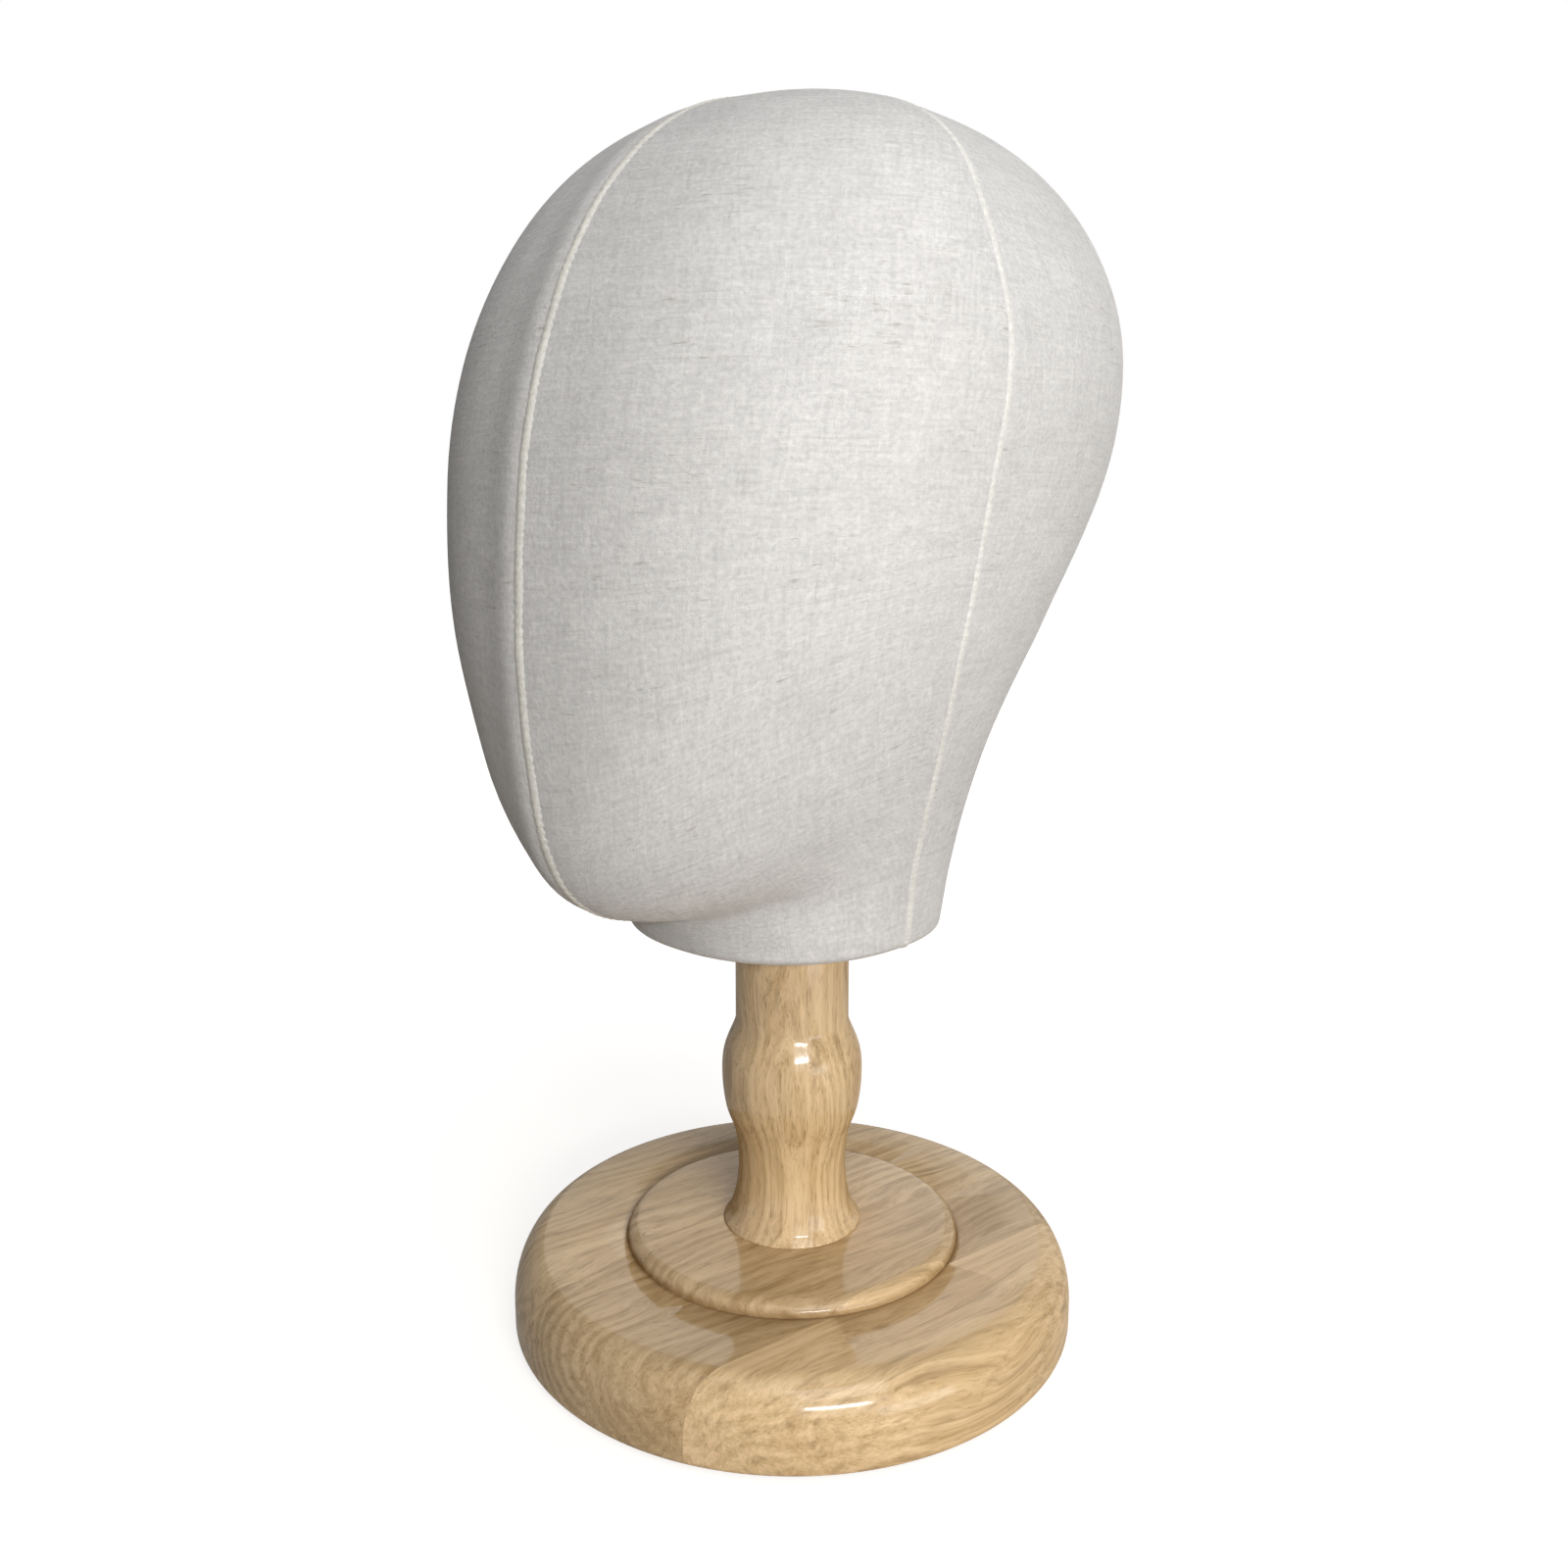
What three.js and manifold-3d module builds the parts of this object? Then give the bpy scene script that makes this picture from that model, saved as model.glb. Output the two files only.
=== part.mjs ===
// Linen-covered display head on a turned wooden stand.
// Millimetres, +Z up, the face looks along -Y, and +X is the head's own left side.
// The origin is the middle of the felt's underside, on the post's axis.
import * as THREE from 'three';
import { mergeVertices } from 'three/addons/utils/BufferGeometryUtils.js';
import Module from 'manifold-3d';

const wasm = await Module();
wasm.setup();
const { lerp, clamp, degToRad } = THREE.MathUtils;

// Felt and base
const feltRadius = 78;
const feltThickness = 1.5;
const baseRadius = 90;
const baseThickness = 25.5;
const baseUnderRound = 2;
const rimRoundWide = 11;
const rimRoundTall = 17;
const stepRadius = 53.5;
const stepHeight = 4;
const stepRoundWide = 5;

// The base is glued up from staves, and the grain runs along their joints. The outer two reach
// as far as the rim.
const staveCount = 5;
const staveWidth = 31;
const staveJointOffset = 17.6;
const staveTurn = degToRad(-10);
const glueLine = 0.1;

// Post, turned to these radii at these rises above the base's step, up to the bead's top
const postTurning = [
  { rise: 0, radius: 22.2 },
  { rise: 3.5, radius: 20.2 },
  { rise: 11, radius: 18 },
  { rise: 21.5, radius: 17.2 },
  { rise: 31.5, radius: 18.4 },
  { rise: 39.5, radius: 21.1 },
  { rise: 49.5, radius: 22.3 },
  { rise: 58.5, radius: 21.7 },
  { rise: 67.5, radius: 18.2 },
];
const shaftRadius = 17.85;
const postLength = 100.5;
const tenonRadius = 12;
const tenonLength = 14;
const tenonFit = 0.2;
const tenonEndGap = 0.3;

// Lag screw that pulls the post down onto the base
const lagRadius = 3;
const lagLength = 50;
const lagPointLength = 5;
const lagPilotFit = 0.1;
const lagHoleFit = 0.3;
const lagHeadAcrossCorners = 11.5;
const lagHeadHeight = 4.5;
const lagWasherRadius = 9;
const lagWasherThickness = 1.5;
const counterboreRadius = 12;
const counterboreDepth = 9;

// Steel pin in the post's top, and the bush that slides onto it
const pinRadius = 6;
const pinBuriedLength = 25;
const pinProudLength = 45;
const pinChamfer = 1.5;
const pinFit = 0.1;
const bushBoreFit = 0.15;
const bushWall = 1.2;
const bushLength = 40;
const bushFlangeRadius = 13;
const bushFlangeThickness = 1.5;

// Flanged steel socket that turns on the bush, screwed to the head's neck plate
const socketBoreFit = 0.15;
const socketWall = 1.2;
const socketLength = 52;
const socketFlangeRadius = 24;
const socketFlangeThickness = 2;
const screwCount = 4;
const screwCircle = 18.5;
const screwRadius = 1.6;
const screwHeadRadius = 3.2;
const screwHeadHeight = 1.6;
const screwLength = 8;
const screwFit = 0.15;
const plateThickness = 9;
const plateFit = 0.3;
const plateSeatFit = 0.2;
const plateLedge = 4;

// Head, in sections by their rise above its lower edge. Each gives the side seam's place along Y,
// the reach from there to the face and to the back, and the half width.
const headSections = [
  { rise: 0, seam: -2, face: 87, back: 41.5, side: 46.7 },
  { rise: 28, seam: -9, face: 83.5, back: 50, side: 54.5 },
  { rise: 59, seam: -17, face: 81, back: 60.5, side: 67.3 },
  { rise: 94, seam: -23.5, face: 76.7, back: 91, side: 79.5 },
  { rise: 130, seam: -21.5, face: 76.3, back: 120, side: 85 },
  { rise: 165, seam: -15.5, face: 76, back: 128, side: 87.5 },
  { rise: 200, seam: -11.5, face: 71, back: 135.8, side: 86.5 },
  { rise: 235, seam: -4.5, face: 65, back: 121.6, side: 93 },
];
const shoulderRise = 129.5;
const crownFullness = 2.58;
const faceFullness = 2.2;
const backFullness = 2.31;
const neckFront = 47.4;
const chinRise = 12.5;
const jawRiseAtSide = 36.5;
const chinDepth = 37;
const jawDepthAtSide = 53;
const jawFlatness = 2.7;
const jawSharpness = 2.3;
const neckEdgeRound = 2.5;
const hemWidth = 6;

// Linen, its raised seams, and the moulded shell under it
const linenThickness = 1;
const linenGap = 0.3;
const seamWidth = 2.2;
const seamHeight = 0.6;
const seamSlot = 0.3;
const shellWall = 3.5;
const neckRingHeight = 14;

// Facets
const baseSegments = 60;
const postSegments = 36;
const postRows = 14;
const smallSegments = 24;
const screwSegments = 12;
const panelColumns = 7;
const rowsOfStage = [1, 2, 3, 6, 4, 9];
const creaseStage = 3;
const crownStage = 5.99;

// Heights and radii that follow from the sizes above
const baseTop = feltThickness + baseThickness;
const stepTop = baseTop + stepHeight;
const tenonBottom = stepTop - tenonLength;
const counterboreTop = feltThickness + counterboreDepth;
const lagHeadTop = counterboreTop - lagWasherThickness;
const postTop = stepTop + postLength;
const neckBottom = postTop + bushFlangeThickness;
const plateTop = neckBottom + plateThickness;
const crownRise = headSections.at(-1).rise;
const bushBore = pinRadius + bushBoreFit;
const bushRadius = bushBore + bushWall;
const socketBore = bushRadius + socketBoreFit;
const socketRadius = socketBore + socketWall;
const hemRadius = headSections[0].back + headSections[0].seam - neckEdgeRound - hemWidth;
const plateRadius = hemRadius - plateFit;
const shellDepth = linenThickness + linenGap;
const seamClearance = seamWidth / 2 + seamSlot;
const quarterTurn = Math.PI / 2;

const lacqueredWood = new THREE.MeshStandardMaterial({ color: 0xc39a63, roughness: 0.35 });
const feltCloth = new THREE.MeshStandardMaterial({ color: 0x4b463f, roughness: 0.95 });
const steel = new THREE.MeshStandardMaterial({ color: 0xb4b6b8, roughness: 0.35, metalness: 1 });
const nylon = new THREE.MeshStandardMaterial({ color: 0xe9e7df, roughness: 0.5 });
const plywood = new THREE.MeshStandardMaterial({ color: 0xcbb083, roughness: 0.7 });
const mouldedShell = new THREE.MeshStandardMaterial({ color: 0xdedbd2, roughness: 0.7 });
const linen = new THREE.MeshStandardMaterial({ color: 0xd6d2cb, roughness: 0.95 });
const seamLinen = new THREE.MeshStandardMaterial({ color: 0xe6e2d6, roughness: 0.9 });

const group = new THREE.Group();

function addPiece(name, geometry, material) {
  const piece = new THREE.Mesh(geometry, material.clone());
  piece.name = name;
  group.add(piece);
}

// Neighbouring triangles share their corners, and triangles that shrank to a line are left out
function closed(geometry) {
  const bare = geometry.clone();
  bare.deleteAttribute('normal');
  bare.deleteAttribute('uv');
  const merged = mergeVertices(bare, 1e-4);
  const kept = [];
  for (let i = 0; i < merged.index.count; i += 3) {
    const [a, b, c] = [0, 1, 2].map((k) => merged.index.getX(i + k));
    if (a !== b && b !== c && c !== a) kept.push(a, b, c);
  }
  merged.setIndex(kept);
  return merged;
}

function solidOf(geometry) {
  const mesh = closed(geometry);
  return new wasm.Manifold(new wasm.Mesh({
    numProp: 3,
    vertProperties: mesh.attributes.position.array,
    triVerts: Uint32Array.from(mesh.index.array),
  }));
}

function geometryOf(solid) {
  const mesh = solid.getMesh();
  const geometry = new THREE.BufferGeometry();
  geometry.setAttribute('position', new THREE.BufferAttribute(mesh.vertProperties, 3));
  geometry.setIndex(new THREE.BufferAttribute(mesh.triVerts, 1));
  return geometry;
}

// The outline of a turned piece runs counterclockwise, as radius and height
function turned(outline, segments) {
  const points = outline.map(([radius, height]) => new THREE.Vector2(radius, height));
  return closed(new THREE.LatheGeometry(points, segments).rotateX(quarterTurn));
}

function cylinder(radius, bottom, top, segments) {
  const shape = new THREE.CylinderGeometry(radius, radius, top - bottom, segments);
  return shape.rotateX(quarterTurn).translate(0, 0, (bottom + top) / 2);
}

function quarterEllipse(centreRadius, centreHeight, wide, tall, startTurn, steps) {
  return Array.from({ length: steps + 1 }, (_, i) => {
    const turn = startTurn + (quarterTurn * i) / steps;
    return [centreRadius + wide * Math.cos(turn), centreHeight + tall * Math.sin(turn)];
  });
}

function addFelt() {
  addPiece('base_felt', cylinder(feltRadius, 0, feltThickness, baseSegments), feltCloth);
}

// The base's rim and step are turned in one piece, and hollowed for the tenon and the lag screw
function baseBlock() {
  const underRadius = baseRadius - baseUnderRound;
  const underCentre = feltThickness + baseUnderRound;
  const block = turned([
    [0, feltThickness],
    ...quarterEllipse(underRadius, underCentre, baseUnderRound, baseUnderRound, -quarterTurn, 2),
    ...quarterEllipse(baseRadius - rimRoundWide, baseTop - rimRoundTall, rimRoundWide, rimRoundTall, 0, 5),
    ...quarterEllipse(stepRadius - stepRoundWide, baseTop, stepRoundWide, stepHeight, 0, 3),
    [0, stepTop],
  ], baseSegments);
  const tenonHole = cylinder(tenonRadius + tenonFit, tenonBottom - tenonEndGap, postTop, smallSegments);
  return solidOf(block)
    .subtract(solidOf(cylinder(counterboreRadius, 0, counterboreTop, smallSegments)))
    .subtract(solidOf(cylinder(lagRadius + lagHoleFit, 0, postTop, screwSegments)))
    .subtract(solidOf(tenonHole));
}

function addStaves() {
  const block = baseBlock();
  const span = 4 * baseRadius;
  const firstJoint = staveJointOffset - Math.floor(staveCount / 2) * staveWidth;
  for (let i = 0; i < staveCount; i += 1) {
    const joint = firstJoint + i * staveWidth;
    const left = i === 0 ? -span / 2 : joint - staveWidth + glueLine / 2;
    const right = i === staveCount - 1 ? span / 2 : joint - glueLine / 2;
    const slab = new THREE.BoxGeometry(right - left, span, span);
    slab.translate((left + right) / 2, 0, 0).rotateZ(staveTurn);
    addPiece(`base_stave_${i + 1}`, geometryOf(block.intersect(solidOf(slab))), lacqueredWood);
  }
}

function addPost() {
  const pilotRadius = lagRadius + lagPilotFit;
  const pilotTop = lagHeadTop + lagLength + lagPointLength;
  const pinHoleRadius = pinRadius + pinFit;
  const pinFloor = postTop - pinBuriedLength;
  const turning = new THREE.SplineCurve(
    postTurning.map(({ rise, radius }) => new THREE.Vector2(radius, stepTop + rise)),
  );
  addPiece('post', turned([
    [0, pilotTop],
    [pilotRadius, pilotTop],
    [pilotRadius, tenonBottom],
    [tenonRadius, tenonBottom],
    [tenonRadius, stepTop],
    ...turning.getPoints(postRows).map((point) => point.toArray()),
    [shaftRadius, stepTop + postTurning.at(-1).rise],
    [shaftRadius, postTop],
    [pinHoleRadius, postTop],
    [pinHoleRadius, pinFloor],
    [0, pinFloor],
  ], postSegments), lacqueredWood);
}

function addLagScrew() {
  const holeRadius = lagRadius + lagHoleFit;
  addPiece('lag_washer', turned([
    [holeRadius, lagHeadTop],
    [lagWasherRadius, lagHeadTop],
    [lagWasherRadius, counterboreTop],
    [holeRadius, counterboreTop],
    [holeRadius, lagHeadTop],
  ], smallSegments), steel);
  const head = cylinder(lagHeadAcrossCorners / 2, lagHeadTop - lagHeadHeight, lagHeadTop, 6);
  const shank = turned([
    [0, lagHeadTop - lagHeadHeight / 2],
    [lagRadius, lagHeadTop - lagHeadHeight / 2],
    [lagRadius, lagHeadTop + lagLength - lagPointLength],
    [0, lagHeadTop + lagLength],
  ], screwSegments);
  addPiece('lag_screw', geometryOf(solidOf(head).add(solidOf(shank))), steel);
}

function addPin() {
  const bottom = postTop - pinBuriedLength;
  const top = postTop + pinProudLength;
  addPiece('post_pin', turned([
    [0, bottom],
    [pinRadius - pinChamfer, bottom],
    [pinRadius, bottom + pinChamfer],
    [pinRadius, top - pinChamfer],
    [pinRadius - pinChamfer, top],
    [0, top],
  ], smallSegments), steel);
}

function flangedTube(outer, bore, bottom, length, flangeRadius, flangeThickness) {
  return turned([
    [bore, bottom],
    [flangeRadius, bottom],
    [flangeRadius, bottom + flangeThickness],
    [outer, bottom + flangeThickness],
    [outer, bottom + length],
    [bore, bottom + length],
    [bore, bottom],
  ], smallSegments);
}

function addBush() {
  const bush = flangedTube(
    bushRadius, bushBore, postTop, bushLength, bushFlangeRadius, bushFlangeThickness,
  );
  addPiece('swivel_bush', bush, nylon);
}

// The countersunk screws of the socket, or with a fit the holes that they need
function countersunkScrews(fit) {
  return Array.from({ length: screwCount }, (_, i) => {
    const turn = ((i + 0.5) * 2 * Math.PI) / screwCount;
    const screw = turned([
      [0, neckBottom - fit],
      [screwHeadRadius + fit, neckBottom - fit],
      [screwHeadRadius + fit, neckBottom],
      [screwRadius + fit, neckBottom + screwHeadHeight],
      [screwRadius + fit, neckBottom + screwLength + fit],
      [0, neckBottom + screwLength + fit],
    ], screwSegments);
    return screw.translate(screwCircle * Math.cos(turn), screwCircle * Math.sin(turn), 0);
  });
}

function withScrewHoles(solid) {
  return countersunkScrews(screwFit).reduce((rest, hole) => rest.subtract(solidOf(hole)), solid);
}

function addSocket() {
  const socket = flangedTube(
    socketRadius, socketBore, neckBottom, socketLength, socketFlangeRadius, socketFlangeThickness,
  );
  addPiece('neck_socket', geometryOf(withScrewHoles(solidOf(socket))), steel);
  countersunkScrews(0).forEach((screw, i) => addPiece(`socket_screw_${i + 1}`, screw, steel));
}

function addNeckPlate() {
  const seatTop = neckBottom + socketFlangeThickness;
  const flangeSeat = cylinder(socketFlangeRadius + plateSeatFit, 0, seatTop, smallSegments);
  const tubeHole = cylinder(socketRadius + plateSeatFit, 0, plateTop + plateThickness, smallSegments);
  const plate = solidOf(cylinder(plateRadius, neckBottom, plateTop, postSegments))
    .subtract(solidOf(flangeSeat))
    .subtract(solidOf(tubeHole));
  addPiece('neck_plate', geometryOf(withScrewHoles(plate)), plywood);
}

// One size of the head's sections at any rise, on a smooth curve through all of them
function sizeAt(name, rise) {
  const last = headSections.length - 1;
  const slope = (i) => {
    const below = headSections[Math.max(i - 1, 0)];
    const above = headSections[Math.min(i + 1, last)];
    return (above[name] - below[name]) / (above.rise - below.rise);
  };
  const above = headSections.findIndex((section) => section.rise >= rise);
  const i = clamp(above - 1, 0, last - 1);
  const [from, to] = [headSections[i], headSections[i + 1]];
  const span = to.rise - from.rise;
  const t = (rise - from.rise) / span;
  return (1 + 2 * t) * (1 - t) ** 2 * from[name] + t ** 2 * (3 - 2 * t) * to[name]
    + t * (1 - t) * span * ((1 - t) * slope(i) - t * slope(i + 1));
}

// A point on the outside of the head. The turn is 0 at the face and a quarter turn at the head's
// left. The stage goes 0-1 out along the hem, 1-2 round the neck's edge, 2-3 up to the crease
// under the jaw, 3-4 over the jaw, 4-5 up to the shoulder of the skull and 5-6 to the crown.
function headPoint(stage, turn) {
  const facing = Math.max(Math.cos(turn), 0) ** 2;
  const crease = lerp(jawRiseAtSide, chinRise, facing);
  const jawDepth = lerp(jawDepthAtSide, chinDepth, facing);
  const part = Math.min(Math.floor(stage), 5);
  const t = stage - part;
  const arc = t * quarterTurn;
  const rise = [
    0,
    neckEdgeRound * (1 - Math.cos(arc)),
    lerp(neckEdgeRound, crease, t),
    crease + jawDepth * t ** 2,
    lerp(crease + jawDepth, shoulderRise, t),
    lerp(shoulderRise, crownRise, Math.sin(arc) ** (2 / crownFullness)),
  ][part];
  const dome = part === 5 ? Math.abs(Math.cos(arc)) ** (2 / crownFullness) : 1;
  const overJaw = clamp((rise - crease) / jawDepth, 0, 1);
  const filled = (1 - (1 - overJaw) ** jawFlatness) ** (1 / jawSharpness);
  const inFront = Math.cos(turn) > 0;
  const fullness = inFront ? faceFullness : backFullness;
  const reach = inFront ? lerp(neckFront, sizeAt('face', rise), filled) : sizeAt('back', rise);
  const corner = Math.abs(Math.cos(turn)) ** fullness + Math.abs(Math.sin(turn)) ** fullness;
  const bow = dome * corner ** (-1 / fullness);
  const x = sizeAt('side', rise) * bow * Math.sin(turn);
  const y = -reach * bow * Math.cos(turn);
  const inset = [neckEdgeRound + (1 - t) * hemWidth, neckEdgeRound * (1 - Math.sin(arc)), 0, 0, 0, 0][part];
  const shrink = inset > 0 ? 1 - inset / Math.hypot(x, y) : 1;
  return new THREE.Vector3(x * shrink, y * shrink + sizeAt('seam', rise), neckBottom + rise);
}

function alongTurn(stage, turn) {
  const nudge = 0.01;
  return headPoint(stage, turn + nudge).sub(headPoint(stage, turn - nudge)).normalize();
}

function headNormal(stage, turn) {
  const nudge = 0.01;
  if (stage > crownStage) return new THREE.Vector3(0, 0, 1);
  const above = headPoint(stage + nudge / 2, turn);
  return alongTurn(stage, turn).cross(above.sub(headPoint(Math.max(stage - nudge, 0), turn))).normalize();
}

// The same point sunk below the surface, or raised above it where the depth is negative
function sunkPoint(stage, turn, depth) {
  return headPoint(stage, turn).addScaledVector(headNormal(stage, turn), -depth);
}

// A closed skin over rings of equally many points, which run counterclockwise seen from ahead.
// Each four-sided patch is split along its shorter diagonal.
function skin(rings) {
  const width = rings[0].length;
  const points = rings.flat();
  const index = [];
  for (let i = 0; i < rings.length - 1; i += 1) {
    for (let j = 0; j < width; j += 1) {
      const [a, b] = [i * width + j, i * width + ((j + 1) % width)];
      const [c, d] = [b + width, a + width];
      if (points[a].distanceTo(points[c]) < points[b].distanceTo(points[d])) index.push(a, b, c, a, c, d);
      else index.push(a, b, d, b, c, d);
    }
  }
  const geometry = new THREE.BufferGeometry().setFromPoints(points);
  geometry.setIndex(index);
  return closed(geometry);
}

const stages = rowsOfStage.flatMap((rows, part) => Array.from({ length: rows }, (_, i) => part + i / rows));
stages.push(crownStage);

// The turn at which a panel's edge runs beside a seam, on one side or the other
function turnBeside(stage, seamTurn, side) {
  const seamPoint = headPoint(stage, seamTurn);
  let near = 0;
  let far = quarterTurn / 2;
  for (let i = 0; i < 30; i += 1) {
    const middle = (near + far) / 2;
    if (headPoint(stage, seamTurn + side * middle).distanceTo(seamPoint) < seamClearance) near = middle;
    else far = middle;
  }
  return seamTurn + side * far;
}

function panelTurns(stage, quarter) {
  const from = turnBeside(stage, quarter * quarterTurn, 1);
  const to = turnBeside(stage, (quarter + 1) * quarterTurn, -1);
  return Array.from({ length: panelColumns + 1 }, (_, i) => lerp(from, to, i / panelColumns));
}

function addPanels() {
  ['front_left', 'back_left', 'back_right', 'front_right'].forEach((place, quarter) => {
    const rings = stages.map((stage) => {
      const turns = panelTurns(stage, quarter);
      const outside = turns.map((turn) => headPoint(stage, turn));
      const inside = turns.map((turn) => sunkPoint(stage, turn, linenThickness));
      return [...outside, ...inside.reverse()];
    });
    const edge = (ring) => {
      const outside = ring.slice(0, panelColumns + 1);
      return [...outside, ...outside.toReversed()];
    };
    addPiece(`cover_${place}`, skin([edge(rings[0]), ...rings, edge(rings.at(-1))]), linen);
  });
}

// A raised strip of linen along a seam, through frames of point, across, normal and height
function seamStrip(frames) {
  const half = seamWidth / 2;
  const section = (height) => [
    [-half, -linenThickness],
    [-half, 0],
    [-half / 2, height],
    [half / 2, height],
    [half, 0],
    [half, -linenThickness],
  ];
  const rings = frames.map(({ point, across, normal, height }) => section(height).map(([aside, proud]) => (
    point.clone().addScaledVector(across, aside).addScaledVector(normal, proud)
  )));
  const end = ({ point }) => rings[0].map(() => point);
  return skin([end(frames[0]), ...rings, end(frames.at(-1))]);
}

// The front seam lies flush on the neck, below the crease under the jaw
function seamFrames(turn, across) {
  return stages.map((stage) => ({
    point: headPoint(stage, turn),
    across: across ?? alongTurn(stage, turn),
    normal: headNormal(stage, turn),
    height: turn === 0 && stage < creaseStage ? 0 : seamHeight,
  }));
}

function addSeams() {
  const across = new THREE.Vector3(1, 0, 0);
  const crown = { point: headPoint(6, 0), across, normal: headNormal(6, 0), height: seamHeight };
  const centre = [...seamFrames(0, across), crown, ...seamFrames(2 * quarterTurn, across).reverse()];
  addPiece('seam_centre', seamStrip(centre), seamLinen);
  addPiece('seam_left', seamStrip(seamFrames(quarterTurn)), seamLinen);
  addPiece('seam_right', seamStrip(seamFrames(3 * quarterTurn)), seamLinen);
}

// The head's form sunk to a depth, with its underside closed flat
function headForm(depth, everyRow) {
  const used = stages.filter((_, i) => i % everyRow === 0);
  const rings = used.map((stage) => [0, 1, 2, 3].flatMap((quarter) => (
    [quarter * quarterTurn, ...panelTurns(stage, quarter)].map((turn) => sunkPoint(stage, turn, depth))
  )));
  const middleOf = (ring, height) => ring.map(() => new THREE.Vector3(0, sizeAt('seam', height), neckBottom + height));
  return skin([
    middleOf(rings[0], 0).map((point) => point.setZ(neckBottom + depth)),
    ...rings,
    middleOf(rings[0], crownRise).map((point) => point.setZ(neckBottom + crownRise - depth)),
  ]);
}

function addShell() {
  const ringTop = neckBottom + neckRingHeight;
  const hollow = solidOf(headForm(shellDepth + shellWall, 2))
    .subtract(solidOf(cylinder(2 * baseRadius, 0, ringTop, smallSegments)));
  const plateRecess = cylinder(plateRadius + plateFit, 0, plateTop, postSegments);
  const opening = cylinder(plateRadius - plateLedge, 0, ringTop + shellWall, postSegments);
  const shell = solidOf(headForm(shellDepth, 1))
    .subtract(hollow)
    .subtract(solidOf(plateRecess))
    .subtract(solidOf(opening));
  addPiece('head_shell', geometryOf(shell), mouldedShell);
}

addFelt();
addStaves();
addPost();
addLagScrew();
addPin();
addBush();
addSocket();
addNeckPlate();
addShell();
addPanels();
addSeams();

export default group;
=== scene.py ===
"""A linen-covered display head on a turned wooden stand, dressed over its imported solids.

The frame is in metres, with +Z up. The face looks along -Y, and +X is the head's own left side.
The sizes that pieces are built from are in mm. Those of flat cloth, the textures, the camera and the
studio are in metres.
"""
import math

import bpy
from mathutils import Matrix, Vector


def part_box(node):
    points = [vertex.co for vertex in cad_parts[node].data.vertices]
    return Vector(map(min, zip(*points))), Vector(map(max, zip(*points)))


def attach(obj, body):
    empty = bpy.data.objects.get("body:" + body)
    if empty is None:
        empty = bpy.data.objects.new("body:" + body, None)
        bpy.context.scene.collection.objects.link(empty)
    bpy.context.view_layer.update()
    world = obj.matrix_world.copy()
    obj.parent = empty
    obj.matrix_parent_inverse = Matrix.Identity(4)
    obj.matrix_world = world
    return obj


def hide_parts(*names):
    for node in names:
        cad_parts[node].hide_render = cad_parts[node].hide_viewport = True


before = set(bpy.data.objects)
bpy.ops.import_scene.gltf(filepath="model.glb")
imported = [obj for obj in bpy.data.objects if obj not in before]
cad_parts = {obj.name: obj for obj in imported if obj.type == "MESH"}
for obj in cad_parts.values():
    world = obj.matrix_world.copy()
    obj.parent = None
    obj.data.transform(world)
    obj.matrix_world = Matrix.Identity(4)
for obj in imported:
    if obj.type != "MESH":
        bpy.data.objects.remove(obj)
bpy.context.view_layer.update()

MM = 0.001
QUARTER = math.pi / 2
FULL_TURN = 2 * math.pi
ACROSS_HEAD = Vector((1, 0, 0))
UPWARDS = Vector((0, 0, 1))


# Numbers and curves

def mix(a, b, t):
    return a + (b - a) * t


def smooth_step(low, high, value):
    t = min(max((value - low) / (high - low), 0), 1)
    return t * t * (3 - 2 * t)


def value_between(rows, column, i, t):
    """A smooth curve's value at the share t of the way from row i to the next. A row starts with its
    place along the curve."""
    last = len(rows) - 1

    def slope(k):
        below, above = rows[max(k - 1, 0)], rows[min(k + 1, last)]
        return (above[column] - below[column]) / (above[0] - below[0])

    low, high = rows[i], rows[i + 1]
    ends = (1 + 2 * t) * (1 - t) ** 2 * low[column] + t ** 2 * (3 - 2 * t) * high[column]
    return ends + t * (1 - t) * (high[0] - low[0]) * ((1 - t) * slope(i) - t * slope(i + 1))


def quarter_ellipse(centre_radius, centre_height, wide, tall, start, steps):
    turns = [start + QUARTER * i / steps for i in range(steps + 1)]
    return [(centre_radius + wide * math.cos(t), centre_height + tall * math.sin(t)) for t in turns]


def distances(points):
    """How far each point lies along the line through all of them."""
    lengths = [0.0]
    for a, b in zip(points, points[1:]):
        lengths.append(lengths[-1] + (b - a).length)
    return lengths


# Mesh tools

def deselect_all():
    if bpy.context.object and bpy.context.object.mode != "OBJECT":
        bpy.ops.object.mode_set(mode="OBJECT")
    bpy.ops.object.select_all(action="DESELECT")


def select_only(piece):
    deselect_all()
    bpy.context.view_layer.objects.active = piece
    piece.select_set(True)


def begin_edit(piece):
    select_only(piece)
    bpy.ops.object.mode_set(mode="EDIT")


def end_edit():
    bpy.ops.object.mode_set(mode="OBJECT")


def finish_mesh(piece, angle):
    """Settles a piece's place into its mesh, and shades it smooth up to an angle in degrees."""
    select_only(piece)
    bpy.ops.object.transform_apply(location=True, rotation=True, scale=True)
    bpy.ops.object.shade_smooth_by_angle(angle=math.radians(angle))
    piece.select_set(False)
    return piece


def thicken(piece, thickness):
    """Gives a sheet its thickness, inwards from the side that shows."""
    select_only(piece)
    modifier = piece.modifiers.new("Solidify", "SOLIDIFY")
    modifier.thickness = thickness * MM
    modifier.offset = -1
    bpy.ops.object.modifier_apply(modifier=modifier.name)


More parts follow.
